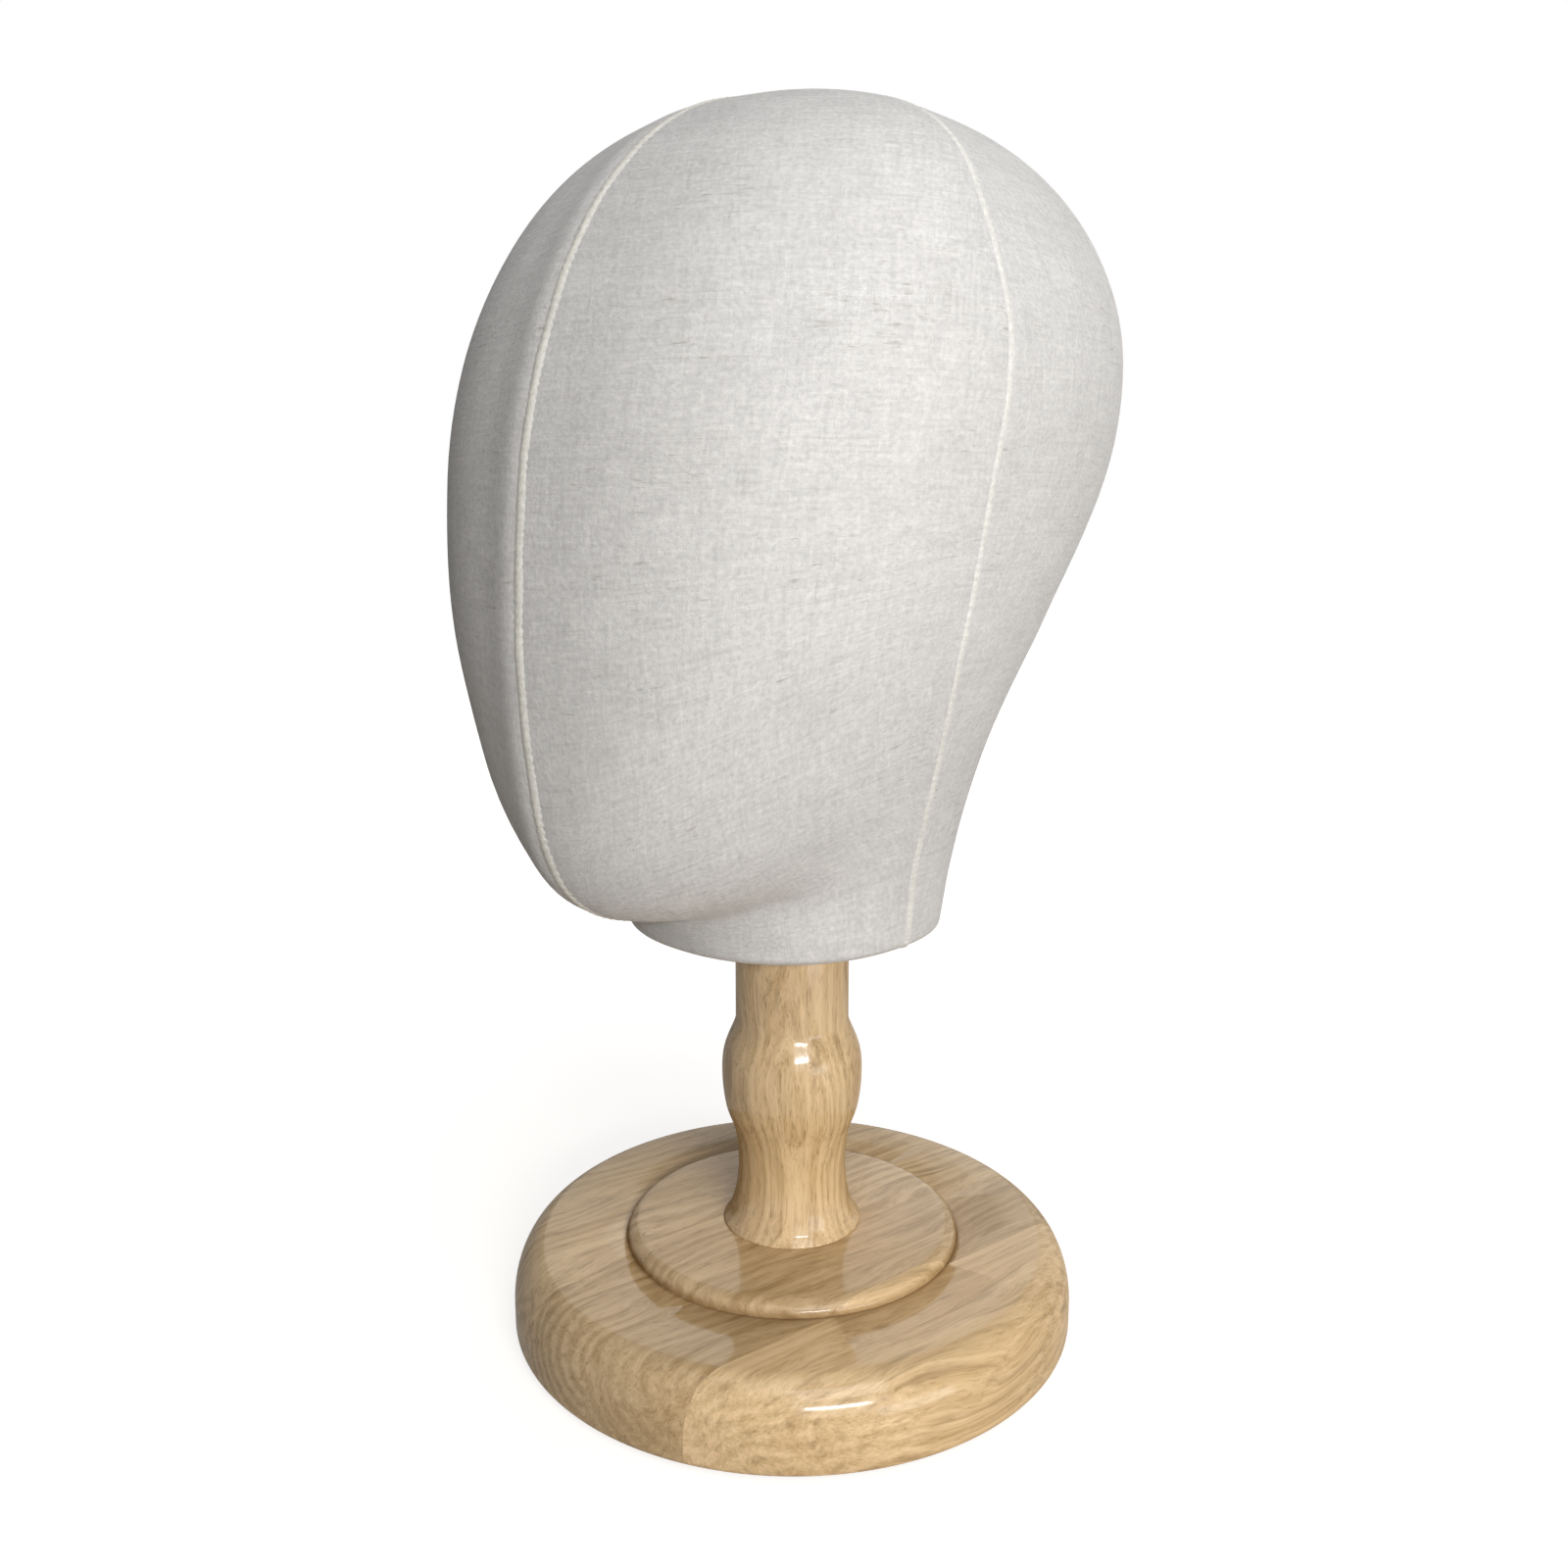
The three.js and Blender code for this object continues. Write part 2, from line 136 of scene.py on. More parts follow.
def turned(name, outline, steps):
    """A piece turned on the lathe: an outline of radius and height in mm, drawn point by point and spun."""
    deselect_all()
    bpy.ops.mesh.primitive_plane_add(size=MM)
    piece = bpy.context.object
    piece.name = piece.data.name = name
    begin_edit(piece)
    bpy.ops.mesh.merge(type="CENTER")
    radius, height = outline[0]
    bpy.ops.transform.translate(value=(radius * MM, 0, height * MM))
    for (r0, z0), (r1, z1) in zip(outline, outline[1:]):
        step = ((r1 - r0) * MM, 0, (z1 - z0) * MM)
        bpy.ops.mesh.extrude_vertices_move(TRANSFORM_OT_translate={"value": step})
    bpy.ops.mesh.select_all(action="SELECT")
    bpy.ops.mesh.spin(steps=steps, angle=FULL_TURN, center=(0, 0, 0), axis=UPWARDS)
    bpy.ops.mesh.select_all(action="SELECT")
    bpy.ops.mesh.remove_doubles(threshold=1e-6)
    bpy.ops.mesh.normals_make_consistent(inside=False)
    end_edit()
    return piece


def flat_grid(name, columns, rows):
    """A flat grid to be shaped, and the vertex at each of its columns and rows."""
    deselect_all()
    bpy.ops.mesh.primitive_grid_add(x_subdivisions=columns, y_subdivisions=rows, size=1)
    piece = bpy.context.object
    piece.name = piece.data.name = name
    placed = {}
    for vertex in piece.data.vertices:
        column, row = round((vertex.co.x + 0.5) * columns), round((vertex.co.y + 0.5) * rows)
        placed[column, row] = vertex
    return piece, placed


def lay_weave(piece, uv):
    """Lays the threads along the cloth: a UV map in metres, from what each vertex lies at."""
    weave = piece.data.uv_layers[0]
    weave.name = "weave"
    for loop in piece.data.loops:
        weave.data[loop.index].uv = uv[loop.vertex_index]


# The head's form, the same as its solids have

SECTIONS = [  # rise, then the side seam's place, the reach to face and back, and the half width
    (0, -2, 87, 41.5, 46.7),
    (28, -9, 83.5, 50, 54.5),
    (59, -17, 81, 60.5, 67.3),
    (94, -23.5, 76.7, 91, 79.5),
    (130, -21.5, 76.3, 120, 85),
    (165, -15.5, 76, 128, 87.5),
    (200, -11.5, 71, 135.8, 86.5),
    (235, -4.5, 65, 121.6, 93),
]
SEAM, FACE, BACK, SIDE = 1, 2, 3, 4
NECK_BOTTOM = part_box("cover_front_left")[0][2] / MM
CROWN_RISE = SECTIONS[-1][0]
SHOULDER_RISE = 129.5
CROWN_FULLNESS = 2.58
FACE_FULLNESS = 2.2
BACK_FULLNESS = 2.31
NECK_FRONT = 47.4
CHIN_RISE, JAW_RISE_AT_SIDE = 12.5, 36.5
CHIN_DEPTH, JAW_DEPTH_AT_SIDE = 37, 53
JAW_FLATNESS, JAW_SHARPNESS = 2.7, 2.3
NECK_EDGE_ROUND = 2.5
HEM_WIDTH = 6

# A stage is a place on the way up: 0-1 along the hem, 1-2 round the neck's edge, 2-3 up to the crease
# under the jaw, 3-4 over the jaw, 4-5 up the skull and 5-6 to the crown, where the panels all but meet.
CREASE_STAGE = 3
CROWN_STAGE = 5.9986
ROW_STAGES = [  # a share of a panel's rows, then the stage it reaches
    (0, 0), (0.025, 1), (0.09, 2), (0.19, 3), (0.4, 4), (0.55, 5), (1, CROWN_STAGE),
]
NUDGE = 0.01


def stage_of(share):
    """The stage at a share of a panel's rows."""
    for (s0, g0), (s1, g1) in zip(ROW_STAGES, ROW_STAGES[1:]):
        if share <= s1:
            return mix(g0, g1, (share - s0) / (s1 - s0))
    return CROWN_STAGE


def size_at(which, rise):
    last = len(SECTIONS) - 1
    i = next((k - 1 for k, row in enumerate(SECTIONS) if row[0] >= rise), last - 1)
    i = min(max(i, 0), last - 1)
    low, high = SECTIONS[i][0], SECTIONS[i + 1][0]
    return value_between(SECTIONS, which, i, (rise - low) / (high - low))


def head_point(stage, turn):
    """A point on the head in mm. The turn goes from the face towards the head's left side."""
    facing = max(math.cos(turn), 0) ** 2
    crease = mix(JAW_RISE_AT_SIDE, CHIN_RISE, facing)
    jaw_depth = mix(JAW_DEPTH_AT_SIDE, CHIN_DEPTH, facing)
    part = min(int(stage), 5)
    t = stage - part
    arc = t * QUARTER
    inset = 0
    dome = 1
    if part == 0:
        rise = 0
        inset = NECK_EDGE_ROUND + (1 - t) * HEM_WIDTH
    elif part == 1:
        rise = NECK_EDGE_ROUND * (1 - math.cos(arc))
        inset = NECK_EDGE_ROUND * (1 - math.sin(arc))
    elif part == 2:
        rise = mix(NECK_EDGE_ROUND, crease, t)
    elif part == 3:
        rise = crease + jaw_depth * t ** 2
    elif part == 4:
        rise = mix(crease + jaw_depth, SHOULDER_RISE, t)
    else:
        rise = mix(SHOULDER_RISE, CROWN_RISE, math.sin(arc) ** (2 / CROWN_FULLNESS))
        dome = abs(math.cos(arc)) ** (2 / CROWN_FULLNESS)
    over_jaw = min(max((rise - crease) / jaw_depth, 0), 1)
    filled = (1 - (1 - over_jaw) ** JAW_FLATNESS) ** (1 / JAW_SHARPNESS)
    in_front = math.cos(turn) > 0
    fullness = FACE_FULLNESS if in_front else BACK_FULLNESS
    reach = mix(NECK_FRONT, size_at(FACE, rise), filled) if in_front else size_at(BACK, rise)
    bow = dome * (abs(math.cos(turn)) ** fullness + abs(math.sin(turn)) ** fullness) ** (-1 / fullness)
    x = size_at(SIDE, rise) * bow * math.sin(turn)
    y = -reach * bow * math.cos(turn)
    shrink = 1 - inset / math.hypot(x, y) if inset > 0 else 1
    return Vector((x * shrink, y * shrink + size_at(SEAM, rise), NECK_BOTTOM + rise))


# The stretched cloth over that form

BRIDGE_IN_FRONT, BRIDGE_AT_SIDE = 0.15, 0.55
BRIDGE_SIDEWAYS = (0.6, 0.95)
BRIDGE_FADE = (0.1, 1)
BRIDGE_SAMPLES = 4
TURN_HALVINGS = 24


def cloth_point(stage, turn):
    """A point on the stretched linen, which bridges the crease under the jaw in a soft hollow."""
    sideways = smooth_step(*BRIDGE_SIDEWAYS, abs(math.sin(turn)))
    bridge = mix(BRIDGE_IN_FRONT, BRIDGE_AT_SIDE, sideways)
    bridge *= 1 - smooth_step(*BRIDGE_FADE, abs(stage - CREASE_STAGE))
    if bridge <= 0:
        return head_point(stage, turn)
    total, weights = Vector((0, 0, 0)), 0
    for k in range(-BRIDGE_SAMPLES, BRIDGE_SAMPLES + 1):
        weight = 1 - (k / (BRIDGE_SAMPLES + 1)) ** 2
        total += head_point(stage + bridge * k / BRIDGE_SAMPLES, turn) * weight
        weights += weight
    return total / weights


def along_turn(stage, turn):
    return (cloth_point(stage, turn + NUDGE) - cloth_point(stage, turn - NUDGE)).normalized()


def head_normal(stage, turn):
    if stage >= CROWN_STAGE:
        return UPWARDS
    up = cloth_point(stage + NUDGE / 2, turn) - cloth_point(max(stage - NUDGE, 0), turn)
    return along_turn(stage, turn).cross(up).normalized()


def turn_beside(stage, seam_turn, side, clearance):
    """The turn at which the cloth is a given distance from a seam's middle."""
    seam_point = head_point(stage, seam_turn)
    near, far = 0, QUARTER / 2
    for _ in range(TURN_HALVINGS):
        middle = (near + far) / 2
        if (head_point(stage, seam_turn + side * middle) - seam_point).length < clearance:
            near = middle
        else:
            far = middle
    return seam_turn + side * far


# Linen panels

QUARTERS = ["front_left", "back_left", "back_right", "front_right"]
PANEL_COLUMNS = 48
PANEL_ROWS = 110
PANEL_EDGE_CROWDING = 0.75
CLOTH_SHADING = 60
LINEN_THICKNESS = 0.9
SEAM_CLEARANCE = 0.4
EDGE_TO_EDGE = 0.02
SEWN_STAGES = (CREASE_STAGE - 0.15, CREASE_STAGE + 0.05)
CLOTH_SINK = 0.1
FACE_RIDGE, FACE_RIDGE_REACH = 1.5, 18
RIDGE_RISE_STAGES, RIDGE_FALL_STAGES = (3.1, 3.8), (5.5, 5.9)
FOLD_WIDTH, FOLD_RISE, FOLD_FALL = 4.2, 0.4, 9
ALLOWANCE_LIFT, ALLOWANCE_WIDTH, ALLOWANCE_SOFTNESS = 0.16, 6.5, 1.4
EDGE_TUCK, EDGE_TUCK_REACH = 0.05, 0.7


def face_ridge(stage):
    """How far the face's seam stands up along the middle of the face."""
    return FACE_RIDGE * smooth_step(*RIDGE_RISE_STAGES, stage) * (1 - smooth_step(*RIDGE_FALL_STAGES, stage))


def cloth_lift(stage, sewn, edge, face_side):
    """How far the cloth stands off the head's form, at a distance from its nearest edge. If that edge
    lies along the face's seam, the face side is "start" on the left panel and "stop" on the right one,
    which is folded beside the seam."""
    tuck = EDGE_TUCK * math.exp(-(edge / EDGE_TUCK_REACH) ** 2)
    lift = -CLOTH_SINK
    if face_side == "start":
        lift += face_ridge(stage) * math.exp(-edge / FACE_RIDGE_REACH) - tuck * sewn
    elif face_side == "stop":
        fold = smooth_step(0, FOLD_WIDTH, edge) * FOLD_RISE / FACE_RIDGE
        fall = math.exp(-(max(edge - FOLD_WIDTH, 0) / FOLD_FALL) ** 2)
        lift += face_ridge(stage) * (1 + fold) * fall - tuck * sewn
    else:
        lift -= tuck
    return lift + ALLOWANCE_LIFT * sewn / (1 + math.exp((edge - ALLOWANCE_WIDTH) / ALLOWANCE_SOFTNESS))


def panel_turns(stage, quarter, face_side, sewn):
    """The turns of a row's vertices, closer together towards the panel's two edges."""
    face_gap = mix(EDGE_TO_EDGE, SEAM_CLEARANCE, sewn)
    start_gap, stop_gap = [face_gap if side == face_side else SEAM_CLEARANCE for side in ("start", "stop")]
    start = turn_beside(stage, quarter * QUARTER, 1, start_gap)
    stop = turn_beside(stage, (quarter + 1) * QUARTER, -1, stop_gap)
    turns = []
    for i in range(PANEL_COLUMNS + 1):
        share = i / PANEL_COLUMNS
        share -= PANEL_EDGE_CROWDING * math.sin(FULL_TURN * share) / FULL_TURN
        turns.append(mix(start, stop, share))
    return turns


def linen_panel(place, quarter):
    """A cut panel of linen, stretched over a quarter of the head from a flat grid."""
    panel, placed = flat_grid(f"linen_{place}", PANEL_COLUMNS, PANEL_ROWS)
    face_side = {0: "start", 3: "stop"}.get(quarter)
    points, across = {}, {}
    for j in range(PANEL_ROWS + 1):
        stage = stage_of(j / PANEL_ROWS)
        sewn = smooth_step(*SEWN_STAGES, stage)
        turns = panel_turns(stage, quarter, face_side, sewn)
        row = [cloth_point(stage, turn) for turn in turns]
        lengths = distances(row)
        for i, turn in enumerate(turns):
            to_edge = {"start": lengths[i], "stop": lengths[-1] - lengths[i]}
            edge = min(to_edge.values())
            by_face = face_side if to_edge.get(face_side) == edge else None
            lift = cloth_lift(stage, sewn, edge, by_face)
            points[i, j] = row[i] + head_normal(stage, turn) * lift
            across[i, j] = lengths[i] - lengths[-1] / 2
    along = distances([points[PANEL_COLUMNS // 2, j] for j in range(PANEL_ROWS + 1)])
    uv = {}
    for (i, j), vertex in placed.items():
        vertex.co = points[i, j] * MM
        uv[vertex.index] = (across[i, j] * MM, along[j] * MM)
    lay_weave(panel, uv)
    thicken(panel, LINEN_THICKNESS)
    return finish_mesh(panel, CLOTH_SHADING)


panels = [linen_panel(place, quarter) for quarter, place in enumerate(QUARTERS)]


# Seams

SEAM_ROWS = 620
SEAM_RIBS = 6
SEAM_THICKNESS = 0.8
FACE_SEAM_START = CREASE_STAGE - 0.1
STITCH_PITCH = 2.3
STITCH_DIP, STITCH_WAIST = 0.4, 0.3
SEAM_EDGE_DIP = 0.2
SEAM_RIDGE_SHARE = 0.97


def seam_wander(length):
    """How far the seam strays sideways, from two waves of unlike length."""
    return 0.14 * math.sin(length / 9.0) + 0.09 * math.sin(length / 3.7 + 1)


def stitch_pinch(length):
    """How hard the thread pulls the seam in, from 0 to 1. Neither pitch nor pull is quite even."""
    uneven_length = length + 0.5 * math.sin(length / 5.3)
    pinch = 0.5 + 0.5 * math.cos(FULL_TURN * uneven_length / STITCH_PITCH)
    return pinch * (0.75 + 0.25 * math.sin(length / 2.9))


def seam_strip(name, turns, half, rise):
    """The raised seam between two panels: a narrow strip along one or two of the head's lines.
    The face's seam starts in the crease under the jaw."""
    stages = [stage_of(j / SEAM_ROWS) for j in range(SEAM_ROWS + 1)]
    path = []
    for turn in turns:
        line = [(stage, turn) for stage in stages if turn or stage >= FACE_SEAM_START]
        path += line[::-1] if path else line
    strip, placed = flat_grid(name, SEAM_RIBS, len(path) - 1)
    centres = [cloth_point(*place) for place in path]
    lengths = distances(centres)
    uv = {}
    for (i, j), vertex in placed.items():
        stage, turn = path[j]
        share = 2 * i / SEAM_RIBS - 1
        pinch = stitch_pinch(lengths[j])
        height = (1 - share ** 2) * rise * (1 - STITCH_DIP * pinch) - SEAM_EDGE_DIP * abs(share) ** 3
        if not turn:
            height += SEAM_RIDGE_SHARE * face_ridge(stage)
        spread = half * share * (1 - STITCH_WAIST * pinch) + seam_wander(lengths[j])
        side = ACROSS_HEAD if len(turns) == 2 else along_turn(stage, turn)
        vertex.co = (centres[j] + side * spread + head_normal(stage, turn) * height) * MM
        uv[vertex.index] = (spread * MM, lengths[j] * MM)
    lay_weave(strip, uv)
    thicken(strip, SEAM_THICKNESS)
    return finish_mesh(strip, CLOTH_SHADING)


seams = [
    seam_strip("seam_strip_centre", [0, 2 * QUARTER], 2.3, 0.5),
    seam_strip("seam_strip_left", [QUARTER], 1.9, 0.3),
    seam_strip("seam_strip_right", [3 * QUARTER], 1.9, 0.3),
]


# Wooden base

FELT_THICKNESS = 1.5
BASE_RADIUS = 90
BASE_TOP = 27
BASE_UNDER_ROUND = 2
RIM_ROUND_WIDE, RIM_ROUND_TALL = 11, 17
STEP_RADIUS = 53.5
STEP_TOP = 31
STEP_ROUND_WIDE = 5
CREASE_WIDE, CREASE_DEEP = 0.5, 0.4
UNDER_ROUND_STEPS, RIM_STEPS, STEP_ROUND_STEPS = 6, 20, 10
BASE_LATHE_STEPS = 192
BASE_SHADING = 50
MORTISE_RADIUS, MORTISE_FLOOR = 12.2, 18.2
SCREW_HOLE_RADIUS = 3.3
COUNTERBORE_RADIUS, COUNTERBORE_TOP = 12, 10.5
STAVE_COUNT = 5
STAVE_WIDTH = 31
STAVE_JOINT = 17.6
STAVE_TURN = math.radians(-10)
GLUE_LINE = 0.06

UNDER_ROUND_CENTRE = BASE_RADIUS - BASE_UNDER_ROUND
STEP_EDGE_BOTTOM = BASE_TOP + CREASE_DEEP

block = turned("base_block", [
    (COUNTERBORE_RADIUS, FELT_THICKNESS),
    (UNDER_ROUND_CENTRE, FELT_THICKNESS),
    *quarter_ellipse(UNDER_ROUND_CENTRE, FELT_THICKNESS + BASE_UNDER_ROUND,
                     BASE_UNDER_ROUND, BASE_UNDER_ROUND, -QUARTER, UNDER_ROUND_STEPS)[1:],
    *quarter_ellipse(BASE_RADIUS - RIM_ROUND_WIDE, BASE_TOP - RIM_ROUND_TALL,
                     RIM_ROUND_WIDE, RIM_ROUND_TALL, 0, RIM_STEPS),
    (STEP_RADIUS + CREASE_WIDE, BASE_TOP),
    (STEP_RADIUS, BASE_TOP - CREASE_DEEP),
    (STEP_RADIUS, STEP_EDGE_BOTTOM),
    *quarter_ellipse(STEP_RADIUS - STEP_ROUND_WIDE, STEP_EDGE_BOTTOM,
                     STEP_ROUND_WIDE, STEP_TOP - STEP_EDGE_BOTTOM, 0, STEP_ROUND_STEPS)[1:],
    (MORTISE_RADIUS, STEP_TOP),
    (MORTISE_RADIUS, MORTISE_FLOOR),
    (SCREW_HOLE_RADIUS, MORTISE_FLOOR),
    (SCREW_HOLE_RADIUS, COUNTERBORE_TOP),
    (COUNTERBORE_RADIUS, COUNTERBORE_TOP),
    (COUNTERBORE_RADIUS, FELT_THICKNESS),
], BASE_LATHE_STEPS)


def stave(index):
    """One stave of the glued-up block: a copy of the turned block, sawn at its glue joints."""
    deselect_all()
    piece = block.copy()
    piece.data = block.data.copy()
    piece.name = piece.data.name = f"wood_stave_{index + 1}"
    bpy.context.scene.collection.objects.link(piece)
    across = Vector((math.cos(STAVE_TURN), math.sin(STAVE_TURN), 0))
    joint = STAVE_JOINT + (index - STAVE_COUNT // 2) * STAVE_WIDTH
    cuts = []
    if index > 0:
        cuts.append((joint - STAVE_WIDTH + GLUE_LINE / 2, -1))
    if index < STAVE_COUNT - 1:
        cuts.append((joint - GLUE_LINE / 2, 1))
    for place, side in cuts:
        begin_edit(piece)
        bpy.ops.mesh.select_all(action="SELECT")
        bpy.ops.mesh.bisect(
            plane_co=across * place * MM, plane_no=across * side, use_fill=True, clear_outer=True)
        end_edit()
    return finish_mesh(piece, BASE_SHADING)


staves = [stave(i) for i in range(STAVE_COUNT)]
bpy.data.objects.remove(block)


# Wooden post

POST_LENGTH = 100.5
POST_TOP = STEP_TOP + POST_LENGTH
POST_ROWS = [  # rise over the step and radius: foot, waist and bead
    (0.4, 22.2), (3.5, 20.2), (11, 18), (21.5, 17.2), (31.5, 18.4), (39.5, 21.1), (49.5, 22.3), (58.5, 21.7),
    (67.5, 18.25),
]
POST_ROW_STEPS = 6
FOOT_EDGE = [(21.9, 0), (22.2, 0.15)]  # radius and rise over the step
SHAFT_RADIUS, SHAFT_START = 17.9, 69
TOP_EDGE = [(17.85, 0.6), (17.7, 0.15), (17.3, 0)]  # radius and depth under the top
TENON_RADIUS, TENON_BOTTOM = 12, 18.5
THREAD_HOLE_RADIUS, THREAD_HOLE_TOP = 3.1, 64
PIN_HOLE_RADIUS, PIN_HOLE_DEPTH = 6.1, 25
POST_LATHE_STEPS = 144
POST_SHADING = 40


def post_curve():
    """The smooth curve of radius and height through the post's rows."""
    points = []
    for i in range(len(POST_ROWS) - 1):
        for k in range(POST_ROW_STEPS):
            t = k / POST_ROW_STEPS
            rise = mix(POST_ROWS[i][0], POST_ROWS[i + 1][0], t)
            points.append((value_between(POST_ROWS, 1, i, t), STEP_TOP + rise))
    last_rise, last_radius = POST_ROWS[-1]
    return points + [(last_radius, STEP_TOP + last_rise)]


post = turned("wood_post", [
    (0, THREAD_HOLE_TOP),
    (THREAD_HOLE_RADIUS, THREAD_HOLE_TOP),
    (THREAD_HOLE_RADIUS, TENON_BOTTOM),
    (TENON_RADIUS, TENON_BOTTOM),
    (TENON_RADIUS, STEP_TOP),
    *[(radius, STEP_TOP + rise) for radius, rise in FOOT_EDGE],
    *post_curve(),
    (SHAFT_RADIUS, STEP_TOP + SHAFT_START),
    *[(radius, POST_TOP - depth) for radius, depth in TOP_EDGE],
    (PIN_HOLE_RADIUS, POST_TOP),
    (PIN_HOLE_RADIUS, POST_TOP - PIN_HOLE_DEPTH),
    (0, POST_TOP - PIN_HOLE_DEPTH),
], POST_LATHE_STEPS)
finish_mesh(post, POST_SHADING)


# Node tools

def new_group(name, inputs, outputs):
    group = bpy.data.node_groups.new(name, "ShaderNodeTree")
    for socket, kind, value in inputs:
        item = group.interface.new_socket(socket, in_out="INPUT", socket_type=kind)
        if value is not None:
            item.default_value = value
    for socket, kind in outputs:
        group.interface.new_socket(socket, in_out="OUTPUT", socket_type=kind)
    return group, group.nodes.new("NodeGroupInput"), group.nodes.new("NodeGroupOutput")


class Wires:
    """Short ways to add and join nodes in one tree."""

    def __init__(self, tree):
        self.tree = tree

    def put(self, socket, value):
        if isinstance(value, bpy.types.NodeSocket):
            self.tree.links.new(value, socket)
        elif value is not None:
            socket.default_value = value

    def node(self, kind, inputs=None, **settings):
        node = self.tree.nodes.new(kind)
        for key, value in settings.items():
            setattr(node, key, value)
        for key, value in (inputs or {}).items():
            self.put(node.inputs[key], value)
        return node

    def math(self, operation, a, b=None, c=None, clamp=False):
        node = self.node("ShaderNodeMath", operation=operation, use_clamp=clamp)
        for socket, value in zip(node.inputs, (a, b, c)):
            self.put(socket, value)
        return node.outputs[0]

    def times(self, a, b):
        return self.math("MULTIPLY", a, b)

    def times_plus(self, a, b, c):
        return self.math("MULTIPLY_ADD", a, b, c)

    def diagonal(self, a, b):
        """The long side of a right angle's triangle."""
        squares = self.math("ADD", self.math("POWER", a, 2.0), self.math("POWER", b, 2.0))
        return self.math("SQRT", squares)

    def parts(self, vector):
        return self.node("ShaderNodeSeparateXYZ", {"Vector": vector}).outputs

    def noise(self, vector, scale, detail, roughness):
        node = self.node("ShaderNodeTexNoise", {
            "Vector": vector, "Scale": scale, "Detail": detail, "Roughness": roughness})
        return node.outputs["Fac"]

    def stretch(self, vector, scale, location, rotation=(0, 0, 0)):
        node = self.node("ShaderNodeMapping", {
            "Vector": vector, "Location": location, "Rotation": rotation, "Scale": scale})
        return node.outputs[0]

    def drawn_noise(self, vector, scale, location, detail=2.0, roughness=0.5):
        """A noise drawn out along one way. The scale is how often it changes in a metre, each way."""
        return self.noise(self.stretch(vector, scale, location), 1.0, detail, roughness)

    def ramp(self, value, low, high, to_low=0.0, to_high=1.0):
        node = self.node("ShaderNodeMapRange", {
            "Value": value, "From Min": low, "From Max": high, "To Min": to_low, "To Max": to_high})
        return node.outputs[0]

    def blend(self, factor, a, b, mode="MIX"):
        node = self.node("ShaderNodeMix", data_type="RGBA", blend_type=mode)
        self.put(node.inputs[0], factor)
        self.put(node.inputs[6], a)
        self.put(node.inputs[7], b)
        return node.outputs[2]

    def toned(self, colour, tone):
        """A colour made lighter or darker by a tone that changes over the surface."""
        grey = self.node("ShaderNodeCombineColor", {"Red": tone, "Green": tone, "Blue": tone}).outputs[0]
        return self.blend(1.0, colour, grey, "MULTIPLY")

    def relief(self, shader, strength, distance, height):
        bump = self.node("ShaderNodeBump", {"Strength": strength, "Distance": distance, "Height": height})
        self.put(shader.inputs["Normal"], bump.outputs[0])

    def seen_rays(self):
        """1 on rays from the camera, off gloss and through glass, and 0 on those that gather soft light."""
        rays = self.node("ShaderNodeLightPath")
        seen = self.math("MAXIMUM", rays.outputs["Is Camera Ray"], rays.outputs["Is Glossy Ray"])
        return self.math("MAXIMUM", seen, rays.outputs["Is Transmission Ray"])


def new_material(name):
    material = bpy.data.materials.new(name)
    material.use_nodes = True
    tree = material.node_tree
    tree.nodes.clear()
    w = Wires(tree)
    shader = w.node("ShaderNodeBsdfPrincipled")
    output = w.node("ShaderNodeOutputMaterial")
    tree.links.new(shader.outputs[0], output.inputs[0])
    return material, w, shader


def finish_in(piece, material):
    piece.data.materials.clear()
    piece.data.materials.append(material)


# Linen

